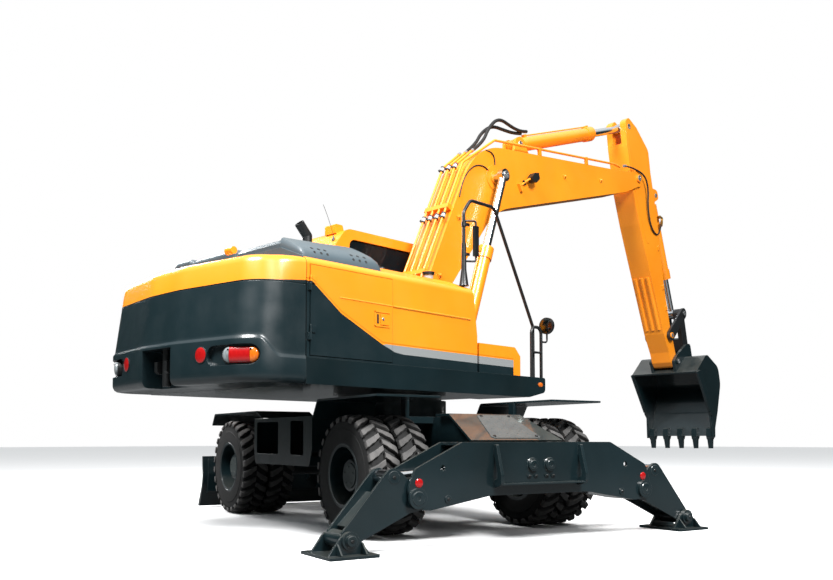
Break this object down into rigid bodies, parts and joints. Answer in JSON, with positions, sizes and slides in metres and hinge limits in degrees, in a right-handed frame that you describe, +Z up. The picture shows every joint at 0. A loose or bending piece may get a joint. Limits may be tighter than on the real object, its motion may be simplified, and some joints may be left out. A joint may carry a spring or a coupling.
{
  "type": "wheeled excavator",
  "caption": "Wheeled excavator parked on its outriggers, with a bent boom, arm and toothed bucket on a slewing upper body, twin tyres and a levelling blade.",
  "frame": {"origin": "on the ground, on the slewing ring's axis", "axes": "+X the way the boom points, +Y the cab side, +Z up; the carrier under the ring stands turned 103.5 degrees clockwise, its outriggers towards -Y"},
  "size_m": [9.7312, 5.7835, 5.6431],
  "materials": {
    "body_yellow": "semi-gloss",
    "slate_paint": "gloss",
    "cover_plastic": "matte",
    "black_paint": "satin",
    "forged_steel": "matte",
    "rod_chrome": "polished",
    "tyre_rubber": "matte",
    "dark_glass": "polished",
    "cab_trim": "matte",
    "lamp_lens": "gloss"
  },
  "bodies": {
    "carrier": {"carrier_frame": "slate_paint", "step_boxes": "slate_paint", "fenders": "slate_paint", "front_axle": "slate_paint", "rear_axle": "slate_paint", "outrigger_beam": "slate_paint", "rear_deck": "slate_paint"},
    "knuckle_left": {"knuckle_left": "forged_steel"},
    "knuckle_right": {"knuckle_right": "forged_steel"},
    "wheel_front_left": {"tyres_front_left": "tyre_rubber", "rims_front_left": "slate_paint"},
    "wheel_front_right": {"tyres_front_right": "tyre_rubber", "rims_front_right": "slate_paint"},
    "wheel_rear_left": {"tyres_rear_left": "tyre_rubber", "rims_rear_left": "slate_paint"},
    "wheel_rear_right": {"tyres_rear_right": "tyre_rubber", "rims_rear_right": "slate_paint"},
    "outrigger_leg_left": {"outrigger_leg_left": "slate_paint"},
    "outrigger_pad_left": {"outrigger_pad_left": "slate_paint"},
    "outrigger_barrel_left": {"outrigger_barrel_left": "slate_paint"},
    "outrigger_rod_left": {"outrigger_rod_left": "rod_chrome"},
    "outrigger_leg_right": {"outrigger_leg_right": "slate_paint"},
    "outrigger_pad_right": {"outrigger_pad_right": "slate_paint"},
    "outrigger_barrel_right": {"outrigger_barrel_right": "slate_paint"},
    "outrigger_rod_right": {"outrigger_rod_right": "rod_chrome"},
    "blade": {"blade": "slate_paint"},
    "blade_barrels": {"blade_barrels": "slate_paint"},
    "blade_rods": {"blade_rods": "rod_chrome"},
    "upper": {"upper_frame": "slate_paint", "counterweight": "slate_paint", "right_body": "body_yellow", "left_body": "body_yellow", "engine_hood": "cover_plastic", "engine": "forged_steel", "tool_box": "body_yellow", "cab_shell": "body_yellow", "cab_windows": "dark_glass", "cab_interior": "cab_trim", "handrails": "black_paint", "exhaust": "black_paint", "rear_lamps": "lamp_lens"},
    "cab_door": {"cab_door": "body_yellow", "cab_door_glass": "dark_glass"},
    "pump_door": {"pump_door": "body_yellow"},
    "left_door": {"left_door": "body_yellow"},
    "hood_lid": {"hood_lid": "body_yellow"},
    "boom": {"boom": "body_yellow", "boom_pipes": "body_yellow"},
    "boom_barrel": {"boom_barrel": "body_yellow"},
    "boom_rod": {"boom_rod": "rod_chrome"},
    "arm": {"arm": "body_yellow"},
    "arm_barrel": {"arm_barrel": "body_yellow"},
    "arm_rod": {"arm_rod": "rod_chrome"},
    "bucket_barrel": {"bucket_barrel": "body_yellow"},
    "bucket_rod": {"bucket_rod": "rod_chrome"},
    "guide_links": {"guide_links": "forged_steel"},
    "connecting_link": {"connecting_link": "forged_steel"},
    "bucket": {"bucket": "slate_paint"}
  },
  "joints": [
    {"name": "slew", "type": "hinge", "parent": "carrier", "child": "upper", "pos_m": [0, 0, 1.25], "axis": [0, 0, 1], "continuous": true},
    {"name": "steer_right", "type": "hinge", "parent": "carrier", "child": "knuckle_right", "pos_m": [-0.28693, 1.63208, 0.53], "axis": [0, 0, 1], "range_deg": [-30, 30]},
    {"name": "steer_left", "type": "hinge", "parent": "carrier", "child": "knuckle_left", "pos_m": [0.9966, 1.32393, 0.53], "axis": [0, 0, 1], "range_deg": [-30, 30]},
    {"name": "wheel_front_left_spin", "type": "hinge", "parent": "knuckle_left", "child": "wheel_front_left", "pos_m": [1.28102, 1.25565, 0.53], "axis": [0.9724, -0.2334, 0], "continuous": true},
    {"name": "wheel_front_right_spin", "type": "hinge", "parent": "knuckle_right", "child": "wheel_front_right", "pos_m": [-0.57135, 1.70036, 0.53], "axis": [0.9724, -0.2334, 0], "continuous": true},
    {"name": "wheel_rear_left_spin", "type": "hinge", "parent": "carrier", "child": "wheel_rear_left", "pos_m": [0.6157, -1.51561, 0.53], "axis": [0.9724, -0.2334, 0], "continuous": true},
    {"name": "wheel_rear_right_spin", "type": "hinge", "parent": "carrier", "child": "wheel_rear_right", "pos_m": [-1.23666, -1.0709, 0.53], "axis": [0.9724, -0.2334, 0], "continuous": true},
    {"name": "blade_lift", "type": "hinge", "parent": "carrier", "child": "blade", "pos_m": [0.46456, 1.93502, 0.54], "axis": [0.9724, -0.2334, 0], "range_deg": [-8, 35]},
    {"name": "blade_barrel_swing", "type": "hinge", "parent": "carrier", "child": "blade_barrels", "pos_m": [0.49607, 2.06629, 0.985], "axis": [0.9724, -0.2334, 0], "range_deg": [-3.07, 13.44]},
    {"name": "blade_rod_slide", "type": "slide", "parent": "blade_barrels", "child": "blade_rods", "axis": [0.0874, 0.3639, -0.9274], "range_m": [-0.20181, 0.0469]},
    {"name": "outrigger_left_swing", "type": "hinge", "parent": "carrier", "child": "outrigger_leg_left", "pos_m": [0.63731, -2.52864, 0.4], "axis": [-0.2334, -0.9724, 0], "range_deg": [0, 110]},
    {"name": "outrigger_left_pad_tilt", "type": "hinge", "parent": "outrigger_leg_left", "child": "outrigger_pad_left", "pos_m": [1.1867, -2.66054, 0.12], "axis": [-0.2334, -0.9724, 0], "range_deg": [-20, 20]},
    {"name": "outrigger_left_barrel_swing", "type": "hinge", "parent": "carrier", "child": "outrigger_barrel_left", "pos_m": [-0.45175, -2.26718, 0.635], "axis": [-0.2334, -0.9724, 0], "range_deg": [-0.506, 0.001]},
    {"name": "outrigger_left_rod_slide", "type": "slide", "parent": "outrigger_barrel_left", "child": "outrigger_rod_left", "axis": [0.9708, -0.2331, -0.0576], "range_m": [-0.41109, 0.001]},
    {"name": "outrigger_right_swing", "type": "hinge", "parent": "carrier", "child": "outrigger_leg_right", "pos_m": [-1.71583, -1.96371, 0.4], "axis": [0.2334, 0.9724, 0], "range_deg": [0, 110]},
    {"name": "outrigger_right_pad_tilt", "type": "hinge", "parent": "outrigger_leg_right", "child": "outrigger_pad_right", "pos_m": [-2.26522, -1.83181, 0.12], "axis": [0.2334, 0.9724, 0], "range_deg": [-20, 20]},
    {"name": "outrigger_right_barrel_swing", "type": "hinge", "parent": "carrier", "child": "outrigger_barrel_right", "pos_m": [-0.62677, -2.22516, 0.635], "axis": [0.2334, 0.9724, 0], "range_deg": [-0.506, 0.001]},
    {"name": "outrigger_right_rod_slide", "type": "slide", "parent": "outrigger_barrel_right", "child": "outrigger_rod_right", "axis": [-0.9708, 0.2331, -0.0576], "range_m": [-0.41109, 0.001]},
    {"name": "cab_door_hinge", "type": "hinge", "parent": "upper", "child": "cab_door", "pos_m": [-0.334, 1.243, 1.9], "axis": [0, 0, 1], "range_deg": [0, 165]},
    {"name": "pump_door_hinge", "type": "hinge", "parent": "upper", "child": "pump_door", "pos_m": [-2.078, -1.251, 1.9], "axis": [0, 0, -1], "range_deg": [0, 110]},
    {"name": "left_door_hinge", "type": "hinge", "parent": "upper", "child": "left_door", "pos_m": [-1.988, 1.251, 1.9], "axis": [0, 0, 1], "range_deg": [0, 110]},
    {"name": "hood_lid_hinge", "type": "hinge", "parent": "upper", "child": "hood_lid", "pos_m": [-1.168, 0.185, 2.434], "axis": [0, 1, 0], "range_deg": [0, 55]},
    {"name": "boom_lift", "type": "hinge", "parent": "upper", "child": "boom", "pos_m": [0.1, 0, 1.94], "axis": [0, 1, 0], "range_deg": [-33, 72]},
    {"name": "boom_barrel_swing", "type": "hinge", "parent": "upper", "child": "boom_barrel", "pos_m": [0.64, 0, 1.39], "axis": [0, 1, 0], "range_deg": [-33.42, 72.93]},
    {"name": "boom_rod_slide", "type": "slide", "parent": "boom_barrel", "child": "boom_rod", "axis": [0.3326, 0, 0.9431], "range_m": [-0.87567, 0.40189]},
    {"name": "arm_swing", "type": "hinge", "parent": "boom", "child": "arm", "pos_m": [4.99304, 0, 4.765], "axis": [0, -1, 0], "range_deg": [-50, 50]},
    {"name": "arm_barrel_swing", "type": "hinge", "parent": "boom", "child": "arm_barrel", "pos_m": [2.21087, 0, 4.60786], "axis": [0, -1, 0], "range_deg": [-0.154, 0.154]},
    {"name": "arm_rod_slide", "type": "slide", "parent": "arm_barrel", "child": "arm_rod", "axis": [0.9434, 0, 0.3316], "range_m": [-0.626, 0.626]},
    {"name": "bucket_curl", "type": "hinge", "parent": "arm", "child": "bucket", "pos_m": [6.11603, 0, 2.08041], "axis": [0, 1, 0], "range_deg": [-32, 105]},
    {"name": "guide_link_swing", "type": "hinge", "parent": "arm", "child": "guide_links", "pos_m": [5.95932, 0, 2.48096], "axis": [0, 1, 0], "range_deg": [-25.46, 83.54]},
    {"name": "connecting_link_swing", "type": "hinge", "parent": "guide_links", "child": "connecting_link", "pos_m": [6.38031, 0, 2.87386], "axis": [0, 1, 0], "range_deg": [-50.61, 15.42]},
    {"name": "bucket_barrel_swing", "type": "hinge", "parent": "arm", "child": "bucket_barrel", "pos_m": [5.70394, 0, 4.67215], "axis": [0, 1, 0], "range_deg": [-1.45, 0.44]},
    {"name": "bucket_rod_slide", "type": "slide", "parent": "bucket_barrel", "child": "bucket_rod", "axis": [0.352, 0, -0.936], "range_m": [-0.23356, 0.76409]}
  ],
  "couplings": [
    {"joint": "steer_left", "follows": "steer_right", "ratio": 1},
    {"joint": "blade_barrel_swing", "follows": "blade_lift", "ratio": 0.3765},
    {"joint": "blade_rod_slide", "follows": "blade_lift", "m_per_rad": -0.32229},
    {"joint": "outrigger_left_barrel_swing", "follows": "outrigger_left_swing", "ratio": -0.0045},
    {"joint": "outrigger_left_rod_slide", "follows": "outrigger_left_swing", "m_per_rad": -0.20942},
    {"joint": "outrigger_right_barrel_swing", "follows": "outrigger_right_swing", "ratio": -0.0045},
    {"joint": "outrigger_right_rod_slide", "follows": "outrigger_right_swing", "m_per_rad": -0.20942},
    {"joint": "boom_barrel_swing", "follows": "boom_lift", "ratio": 0.993},
    {"joint": "boom_rod_slide", "follows": "boom_lift", "m_per_rad": -0.68239},
    {"joint": "arm_barrel_swing", "follows": "arm_swing", "ratio": -0.003},
    {"joint": "arm_rod_slide", "follows": "arm_swing", "m_per_rad": -0.70216},
    {"joint": "guide_link_swing", "follows": "bucket_curl", "ratio": 0.78},
    {"joint": "connecting_link_swing", "follows": "bucket_curl", "ratio": -0.4725},
    {"joint": "bucket_barrel_swing", "follows": "bucket_curl", "ratio": -0.0135},
    {"joint": "bucket_rod_slide", "follows": "bucket_curl", "m_per_rad": 0.40823}
  ]
}
